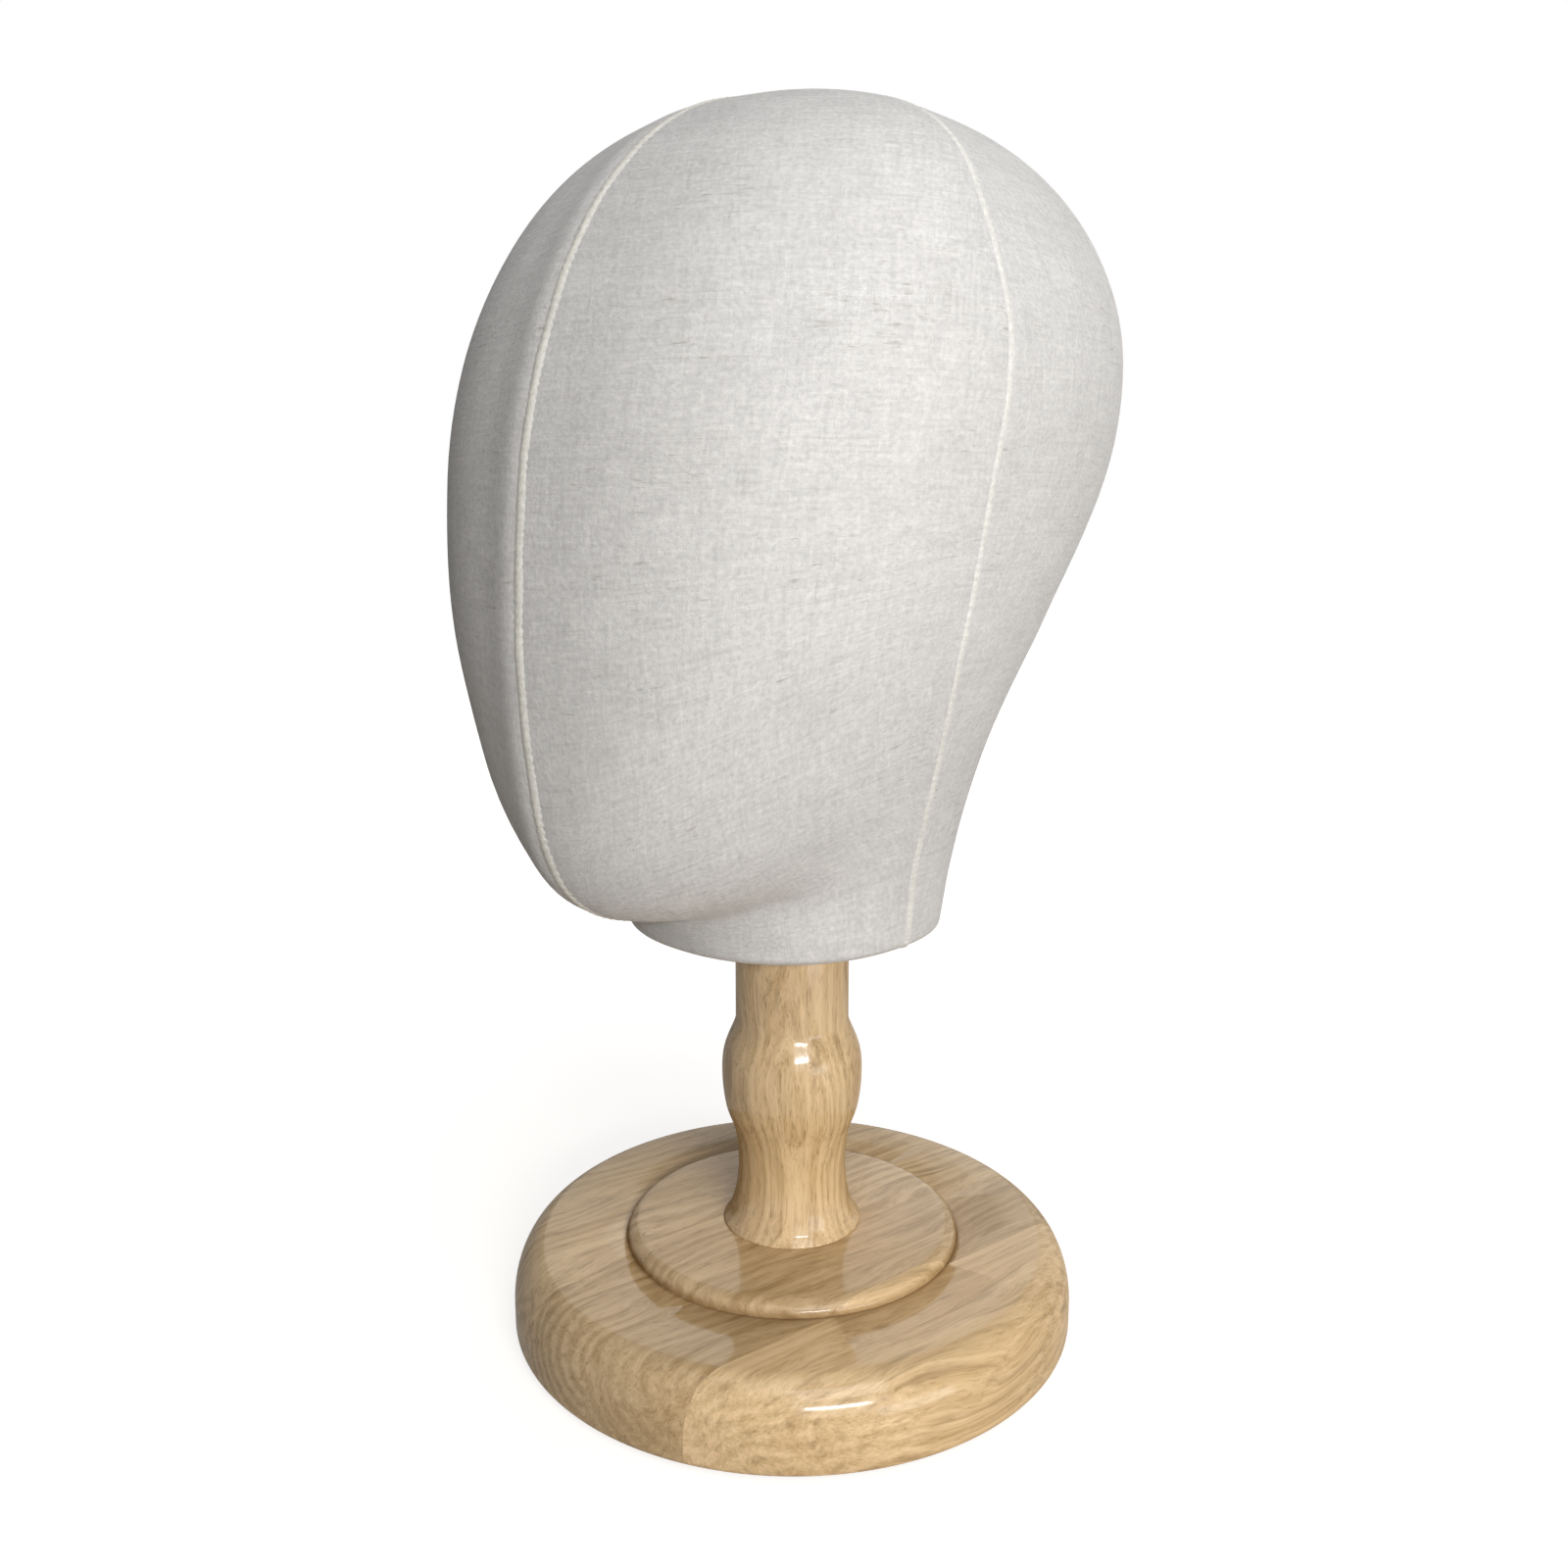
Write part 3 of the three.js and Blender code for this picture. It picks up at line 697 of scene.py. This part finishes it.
def linen_weave_group():
    """Plain-woven linen on a vector in metres: uneven threads both ways, slubs and flecks."""
    group, start, end = new_group(
        "linen_weave",
        [("Vector", "NodeSocketVector", None), ("Threads", "NodeSocketFloat", 1650.0),
         ("Slubs", "NodeSocketFloat", 1.0), ("Colour", "NodeSocketColor", (0.7, 0.7, 0.7, 1)),
         ("Slub Colour", "NodeSocketColor", (0.3, 0.26, 0.22, 1))],
        [("Colour", "NodeSocketColor"), ("Height", "NodeSocketFloat")])
    w = Wires(group)
    vector, slub_amount = start.outputs["Vector"], start.outputs["Slubs"]

    weft = w.drawn_noise(vector, (150, 1300, 1), (0, 0, 0), 2, 0.55)
    warp = w.drawn_noise(vector, (1300, 140, 1), (3, 7, 0), 2, 0.55)
    mottle = w.drawn_noise(vector, (720, 780, 1), (2, 5, 0), 2.5, 0.6)
    threads = w.times_plus(mottle, 0.58, w.times_plus(weft, 0.24, w.times(warp, 0.18)))
    thick_weft = w.drawn_noise(vector, (70, 420, 1), (4, 8, 0), 2, 0.6)
    thick_warp = w.drawn_noise(vector, (420, 70, 1), (7, 5, 0), 2, 0.6)
    thick_threads = w.math("ADD", thick_weft, thick_warp)
    cloud = w.drawn_noise(vector, (38, 55, 1), (1, 2, 0), 4, 0.6)
    tone = w.ramp(threads, 0.36, 0.64, 0.86, 1.12)
    tone = w.times(tone, w.ramp(cloud, 0.3, 0.7, 0.96, 1.03))
    tone = w.times(tone, w.ramp(thick_threads, 0.75, 1.25, 0.94, 1.06))
    colour = w.toned(start.outputs["Colour"], tone)

    clusters = w.drawn_noise(vector, (26, 48, 1), (6, 3, 0))
    crowd = w.ramp(clusters, 0.38, 0.66, -0.1, 0.045)
    short_noise = w.drawn_noise(vector, (160, 900, 1), (5, 1, 0), 1.5)
    short_slubs = w.ramp(w.math("ADD", short_noise, crowd), 0.665, 0.75)
    medium_noise = w.drawn_noise(vector, (58, 1100, 1), (8, 2, 0), 2.5, 0.6)
    medium_slubs = w.ramp(w.math("ADD", medium_noise, crowd), 0.645, 0.75)
    slubs = w.times(w.math("MAXIMUM", short_slubs, w.times(medium_slubs, 0.7)), slub_amount)
    warp_noise = w.drawn_noise(vector, (1000, 110, 1), (9, 4, 0), 1.5)
    warp_slubs = w.times(w.ramp(w.math("ADD", warp_noise, crowd), 0.69, 0.79), slub_amount)
    long_noise = w.drawn_noise(vector, (20, 1250, 1), (2, 9, 0))
    long_threads = w.times(w.ramp(long_noise, 0.6, 0.72), slub_amount)

    cells = w.node("ShaderNodeTexVoronoi", {"Vector": vector, "Scale": 55.0, "Randomness": 1.0})
    cell_draw = w.node("ShaderNodeSeparateColor", {"Color": cells.outputs["Color"]}).outputs[0]
    rare = w.math("GREATER_THAN", cell_draw, 0.93)
    flecks = w.times(w.ramp(cells.outputs["Distance"], 0.045, 0.02), rare)

    marks = w.times(slubs, 0.36)
    for mark, darkness in ((warp_slubs, 0.26), (long_threads, 0.13), (flecks, 0.6)):
        marks = w.math("MAXIMUM", marks, w.times(mark, darkness))
    w.put(end.inputs["Colour"], w.blend(marks, colour, start.outputs["Slub Colour"]))

    pitch = w.times(start.outputs["Threads"], FULL_TURN)
    across, along, _ = w.parts(vector)
    over = w.math("SINE", w.times_plus(across, pitch, w.times(weft, 5.0)))
    under = w.math("SINE", w.times_plus(along, pitch, w.times(warp, 5.0)))
    height = w.times_plus(w.times(over, under), 0.15, w.times(threads, 2.4))
    w.put(end.inputs["Height"], w.times_plus(slubs, 0.5, height))
    return group


LINEN_WEAVE = linen_weave_group()
STRIP_FADE = (0.0013, 0.0028)
STRIP_FRAY = 0.0012


def linen_material(name, colour, slubs, bump, edge_colour=None):
    """Edge colour is what a narrow strip fades to, unevenly, along its two edges."""
    material, w, shader = new_material(name)
    uv = w.node("ShaderNodeUVMap", uv_map="weave").outputs[0]
    if edge_colour:
        across = w.math("ABSOLUTE", w.parts(uv)[0])
        fray = w.noise(uv, 520.0, 2, 0.6)
        to_edge = w.ramp(w.times_plus(fray, STRIP_FRAY, across), *STRIP_FADE)
        colour = w.blend(to_edge, colour, edge_colour)
    cloth = w.node(
        "ShaderNodeGroup", {"Vector": uv, "Slubs": slubs, "Colour": colour}, node_tree=LINEN_WEAVE)
    w.put(shader.inputs["Base Color"], cloth.outputs["Colour"])
    shader.inputs["Roughness"].default_value = 0.92
    shader.inputs["Sheen Weight"].default_value = 0.15
    shader.inputs["Sheen Roughness"].default_value = 0.6
    shader.inputs["Specular IOR Level"].default_value = 0.2
    w.relief(shader, 0.5, bump, cloth.outputs["Height"])
    return material


LINEN_GREY = (0.70, 0.688, 0.672, 1)
FACE_SEAM_CREAM = (0.87, 0.845, 0.765, 1)
SIDE_SEAM_CREAM = (0.815, 0.80, 0.755, 1)
linen = linen_material("linen_cloth", LINEN_GREY, 1.0, 0.0003)
face_seam_linen = linen_material("linen_face_seam", FACE_SEAM_CREAM, 0.3, 0.0002, LINEN_GREY)
side_seam_linen = linen_material("linen_side_seam", SIDE_SEAM_CREAM, 0.3, 0.0002, LINEN_GREY)

for piece in panels:
    finish_in(piece, linen)
for piece, finish in zip(seams, [face_seam_linen, side_seam_linen, side_seam_linen]):
    finish_in(piece, finish)


# Lacquered wood

def wood_grain_group():
    """Lacquered hardwood with its grain along the vector's X: growth bands, fibres, streaks and pores."""
    group, start, end = new_group(
        "wood_grain",
        [("Vector", "NodeSocketVector", None), ("Light", "NodeSocketColor", (0.6, 0.4, 0.2, 1)),
         ("Dark", "NodeSocketColor", (0.4, 0.25, 0.12, 1)), ("Pore", "NodeSocketColor", (0.2, 0.1, 0.05, 1)),
         ("Pores", "NodeSocketFloat", 1.0), ("Streaks", "NodeSocketFloat", 1.0),
         ("Rings", "NodeSocketFloat", 1.0)],
        [("Colour", "NodeSocketColor"), ("Height", "NodeSocketFloat"), ("Gloss", "NodeSocketFloat")])
    w = Wires(group)
    vector = start.outputs["Vector"]

    sway = w.drawn_noise(vector, (9, 26, 26), (0, 0, 0))
    swayed = w.node("ShaderNodeCombineXYZ", {"X": 0.0, "Y": w.times(sway, 0.04), "Z": w.times(sway, 0.025)})
    bent = w.node("ShaderNodeVectorMath", {0: vector, 1: swayed.outputs[0]}, operation="ADD").outputs[0]
    _, from_heart, over_heart = w.parts(bent)
    rings = w.diagonal(from_heart, over_heart)
    uneven = w.drawn_noise(vector, (8, 45, 45), (7, 2, 5))
    ring_wave = w.math("SINE", w.times_plus(rings, 1350.0, w.times(uneven, 9.0)))
    ring_soft = w.drawn_noise(bent, (4, 230, 230), (0, 0, 0), 3, 0.55)
    band = w.times_plus(w.times(ring_wave, start.outputs["Rings"]), 0.16, ring_soft)
    band = w.ramp(band, 0.28, 0.75)
    fibre = w.drawn_noise(bent, (30, 950, 950), (0, 0, 0), 3, 0.65)
    broad = w.drawn_noise(vector, (7, 24, 24), (3, 1, 2))
    tone = w.times_plus(w.ramp(fibre, 0.32, 0.68), 0.38, w.times(band, 0.42))
    tone = w.times_plus(w.ramp(broad, 0.3, 0.7), 0.32, tone)
    colour = w.blend(w.ramp(tone, 0.25, 0.95), start.outputs["Light"], start.outputs["Dark"])

    streak_noise = w.drawn_noise(bent, (26, 330, 330), (2, 5, 1), 2.5, 0.6)
    streaks = w.times(w.ramp(streak_noise, 0.54, 0.7), start.outputs["Streaks"])
    colour = w.blend(w.times(streaks, 0.42), colour, start.outputs["Pore"])
    pore_noise = w.drawn_noise(bent, (190, 2100, 2100), (4, 0, 0), 1.0)
    pores = w.times(w.ramp(pore_noise, 0.56, 0.68), start.outputs["Pores"])
    pores = w.math("MULTIPLY", pores, w.ramp(band, 0.0, 0.7, 0.45, 1.0), clamp=True)
    w.put(end.inputs["Colour"], w.blend(w.times(pores, 0.5), colour, start.outputs["Pore"]))
    w.put(end.inputs["Height"], w.times_plus(pores, -0.6, w.times(fibre, 0.15)))
    w.put(end.inputs["Gloss"], w.ramp(pores, 0.0, 1.0, 0.26, 0.42))
    return group


def painted_crease_shade_group():
    """Painted shade: darkens the wood's colour in a ring where a step meets the flat beside it, for the
    shade that falls in that crease.
    """
    group, start, end = new_group(
        "painted_crease_shade",
        [("Vector", "NodeSocketVector", None), ("Radius", "NodeSocketFloat", 0.05),
         ("Width", "NodeSocketFloat", 0.001), ("Colour", "NodeSocketColor", (0.5, 0.5, 0.5, 1)),
         ("Shade", "NodeSocketColor", (0.2, 0.1, 0.05, 1)), ("Amount", "NodeSocketFloat", 0.6)],
        [("Colour", "NodeSocketColor")])
    w = Wires(group)
    x, y, _ = w.parts(start.outputs["Vector"])
    apart = w.math("ABSOLUTE", w.math("SUBTRACT", w.diagonal(x, y), start.outputs["Radius"]))
    near = w.math("SUBTRACT", 1.0, w.math("DIVIDE", apart, start.outputs["Width"]), clamp=True)
    shaded = w.times(near, start.outputs["Amount"])
    w.put(end.inputs["Colour"], w.blend(shaded, start.outputs["Colour"], start.outputs["Shade"]))
    return group


WOOD_GRAIN = wood_grain_group()
PAINTED_CREASE_SHADE = painted_crease_shade_group()
# A ring of painted shade, in the crease at the foot of the base's step.
SHADE_RING_OUTSIDE_STEP, SHADE_RING_WIDTH = 0.4, 1.3
PAINTED_CREASE_SHADE_RING = {
    "Radius": (STEP_RADIUS + SHADE_RING_OUTSIDE_STEP) * MM, "Width": SHADE_RING_WIDTH * MM}
HONEY_LIGHT = (0.77, 0.56, 0.315, 1)
HONEY_DARK = (0.49, 0.315, 0.14, 1)
# Brown for the pores and streaks, and for the painted shade in the step's crease.
PORE_AND_SHADE_BROWN = (0.23, 0.125, 0.04, 1)


def lit(colour, gain):
    return tuple(c * gain for c in colour[:3]) + (1,)


def wood_material(name, along, place_in_log, gains, pores=1.0, rings=1.0, crease=None):
    """Along is the Euler turn that brings the wood's own grain onto X. The gains brighten its light and
    its dark wood. Crease is the ring in which shade is painted into the wood's colour, at the foot of a
    step."""
    material, w, shader = new_material(name)
    place = w.node("ShaderNodeTexCoord").outputs["Object"]
    grain = w.node("ShaderNodeGroup", {
        "Vector": w.stretch(place, (1, 1, 1), place_in_log, along),
        "Light": lit(HONEY_LIGHT, gains[0]), "Dark": lit(HONEY_DARK, gains[1]), "Pore": PORE_AND_SHADE_BROWN,
        "Pores": pores, "Rings": rings}, node_tree=WOOD_GRAIN)
    colour = grain.outputs["Colour"]
    # Painted shade in the crease at the foot of the step.
    if crease:
        shade = w.node("ShaderNodeGroup", {
            "Vector": place, "Colour": colour, "Shade": PORE_AND_SHADE_BROWN, **crease}, node_tree=PAINTED_CREASE_SHADE)
        colour = shade.outputs["Colour"]
    w.put(shader.inputs["Base Color"], colour)
    w.put(shader.inputs["Roughness"], grain.outputs["Gloss"])
    shader.inputs["Specular IOR Level"].default_value = 0.0
    shader.inputs["Coat Weight"].default_value = 0.22
    shader.inputs["Coat IOR"].default_value = 2.2
    shader.inputs["Coat Roughness"].default_value = 0.11
    w.relief(shader, 0.25, 0.0002, grain.outputs["Height"])
    return material


STAVE_GRAIN_TURN = (0, 0, math.radians(-80))
STAVE_LOOKS = [  # brightness, place in the log, then how strong its rings and pores are
    (0.95, (0.01, 0.05, 0.02), 1.0, 0.9),
    (1.0, (0.3, 0.02, 0.035), 1.0, 0.9),
    (0.98, (0.7, 0.0, -0.048), 1.5, 0.8),
    (0.92, (0.15, 0.03, -0.04), 0.7, 0.7),
    (1.12, (0.5, 0.06, 0.03), 0.6, 0.55),
]
for piece, (gain, place_in_log, rings, pores) in zip(staves, STAVE_LOOKS):
    finish_in(piece, wood_material(
        f"{piece.name}_lacquered", STAVE_GRAIN_TURN, place_in_log, (gain, gain), pores, rings,
        PAINTED_CREASE_SHADE_RING))

POST_GRAIN_TURN = (0, QUARTER, 0)
finish_in(post, wood_material("wood_post_lacquered", POST_GRAIN_TURN, (0.2, 0.03, 0.02), (1.0, 1.02)))


# Plainer finishes of the pieces that mostly stay out of sight

def plain_material(name, colour, roughness, metallic, scale, amount):
    """A finish with fine mottling in its colour, roughness and relief."""
    material, w, shader = new_material(name)
    fine = w.noise(w.node("ShaderNodeTexCoord").outputs["Object"], scale, 3, 0.6)
    tone = w.ramp(fine, 0.3, 0.7, 1 - amount, 1 + amount)
    w.put(shader.inputs["Base Color"], w.toned(colour, tone))
    w.put(shader.inputs["Roughness"], w.ramp(fine, 0.3, 0.7, roughness * 0.9, roughness * 1.1))
    shader.inputs["Metallic"].default_value = metallic
    w.relief(shader, 0.3, 0.0001, fine)
    return material


PLAIN_FINISHES = {
    "base_felt": plain_material("grey_felt", (0.07, 0.06, 0.055, 1), 0.95, 0.0, 1400.0, 0.3),
    "post_pin": plain_material("ground_steel", (0.55, 0.55, 0.56, 1), 0.3, 1.0, 2500.0, 0.05),
    "lag_screw": plain_material("zinc_screw", (0.6, 0.6, 0.58, 1), 0.35, 1.0, 2500.0, 0.06),
    "swivel_bush": plain_material("white_nylon", (0.8, 0.79, 0.74, 1), 0.45, 0.0, 1200.0, 0.03),
    "neck_socket": plain_material("bright_steel", (0.6, 0.6, 0.61, 1), 0.28, 1.0, 2500.0, 0.05),
    "neck_plate": plain_material("birch_plywood", (0.62, 0.47, 0.28, 1), 0.6, 0.0, 700.0, 0.12),
    "head_shell": plain_material("moulded_shell", (0.72, 0.7, 0.64, 1), 0.6, 0.0, 800.0, 0.05),
}
for node in ["lag_washer"] + [f"socket_screw_{number}" for number in range(1, 5)]:
    PLAIN_FINISHES[node] = PLAIN_FINISHES["lag_screw"]
for node, finish in PLAIN_FINISHES.items():
    finish_in(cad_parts[node], finish)


# What each piece rides on and stands for

HEAD_PIECES = [(panel, f"cover_{place}") for panel, place in zip(panels, QUARTERS)]
HEAD_PIECES += list(zip(seams, ["seam_centre", "seam_left", "seam_right"]))
for piece, node in HEAD_PIECES:
    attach(piece, "head")
    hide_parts(node)
for i, piece in enumerate(staves):
    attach(piece, "base")
    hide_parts(f"base_stave_{i + 1}")
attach(post, "base")
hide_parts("post")


# Camera

CAMERA_TURN = math.radians(42)
CAMERA_SWING = math.radians(0.34)
CAMERA_DIP = math.radians(11.84)
CAMERA_AWAY, CAMERA_HIGH = 0.432, 0.2656

camera_data = bpy.data.cameras.new("camera")
camera = bpy.data.objects.new("camera", camera_data)
bpy.context.scene.collection.objects.link(camera)
camera.location = (CAMERA_AWAY * math.sin(CAMERA_TURN), -CAMERA_AWAY * math.cos(CAMERA_TURN), CAMERA_HIGH)
camera.rotation_euler = (QUARTER - CAMERA_DIP, 0, CAMERA_TURN + CAMERA_SWING)
camera_data.sensor_width = 36
camera_data.lens = 33.0
camera_data.clip_start = 0.01
camera_data.clip_end = 50
bpy.context.scene.camera = camera
bpy.context.scene.view_settings.view_transform = "Standard"


# Studio

MIDDLE = Vector((0, 0, 0.2))


def around(right_of_camera, height, distance):
    """A place at an angle to the right of the camera, as seen from the object's middle."""
    turn = CAMERA_TURN + math.radians(right_of_camera)
    lift = math.radians(height)
    level = math.cos(lift)
    return Vector((math.sin(turn) * level, -math.cos(turn) * level, math.sin(lift))) * distance


def soft_light(name, right_of_camera, height, distance, size, power, colour=(1, 1, 1)):
    """A flat lamp that faces the object's middle. Its angles are in degrees and its power in watts."""
    data = bpy.data.lights.new(name, "AREA")
    data.shape = "RECTANGLE"
    data.size, data.size_y = size
    data.energy = power
    data.color = colour
    light = bpy.data.objects.new(name, data)
    bpy.context.scene.collection.objects.link(light)
    light.location = MIDDLE + around(right_of_camera, height, distance)
    light.rotation_euler = (MIDDLE - light.location).to_track_quat("-Z", "Y").to_euler()


soft_light("window_light", 19, 15, 1.6, (1.0, 0.8), 4.2)
soft_light("upper_window_light", 22, 45, 1.6, (0.9, 0.8), 8)
soft_light("backdrop_light", 150, 10, 1.8, (1.6, 1.2), 6, (1.0, 0.98, 0.93))
soft_light("rear_light", 182, 18, 1.8, (1.4, 1.2), 7, (1.0, 0.98, 0.94))
soft_light("pane_light", 17, 16, 1.6, (0.65, 0.12), 10.5)
soft_light("side_light", 45, -4, 1.5, (0.8, 0.5), 4.6)
soft_light("ceiling_light", 20, 80, 1.6, (1.6, 1.6), 3)

world = bpy.data.worlds.new("studio")
bpy.context.scene.world = world
world.use_nodes = True
w = Wires(world.node_tree)
world.node_tree.nodes.clear()
dim = w.node("ShaderNodeBackground", {"Color": (1.0, 0.97, 0.92, 1), "Strength": 0.02})
white = w.node("ShaderNodeBackground", {"Color": (1, 1, 1, 1), "Strength": 1.0})
either = w.node("ShaderNodeMixShader", {0: w.seen_rays(), 1: dim.outputs[0], 2: white.outputs[0]})
w.node("ShaderNodeOutputWorld", {0: either.outputs[0]})

# The table is drawn a hair under the felt. Seen, it glows to white away from the stand and keeps the
# stand's shadow. To the light it is a plain matt surface.
TABLE_SIZE = 8
TABLE_HEIGHT = -0.0002
GLOW_FROM, GLOW_TO = (0.1, 0.78), (0.5, 1.0)

deselect_all()
bpy.ops.mesh.primitive_plane_add(size=TABLE_SIZE, location=(0, 0, TABLE_HEIGHT))
floor = bpy.context.object
floor.name = "floor"
floor_material = bpy.data.materials.new("white_table")
floor_material.use_nodes = True
w = Wires(floor_material.node_tree)
floor_material.node_tree.nodes.clear()
place = w.node("ShaderNodeTexCoord").outputs["Object"]
away = w.node("ShaderNodeVectorMath", {0: place}, operation="LENGTH").outputs["Value"]
brightness = w.ramp(away, GLOW_FROM[0], GLOW_TO[0], GLOW_FROM[1], GLOW_TO[1])
matt = w.node("ShaderNodeBsdfDiffuse", {"Color": (0.48, 0.45, 0.41, 1)})
glow = w.node("ShaderNodeEmission", {"Color": (1, 1, 1, 1), "Strength": brightness})
both = w.node("ShaderNodeAddShader", {0: matt.outputs[0], 1: glow.outputs[0]})
table = w.node("ShaderNodeMixShader", {0: w.seen_rays(), 1: matt.outputs[0], 2: both.outputs[0]})
w.node("ShaderNodeOutputMaterial", {0: table.outputs[0]})
floor.data.materials.append(floor_material)
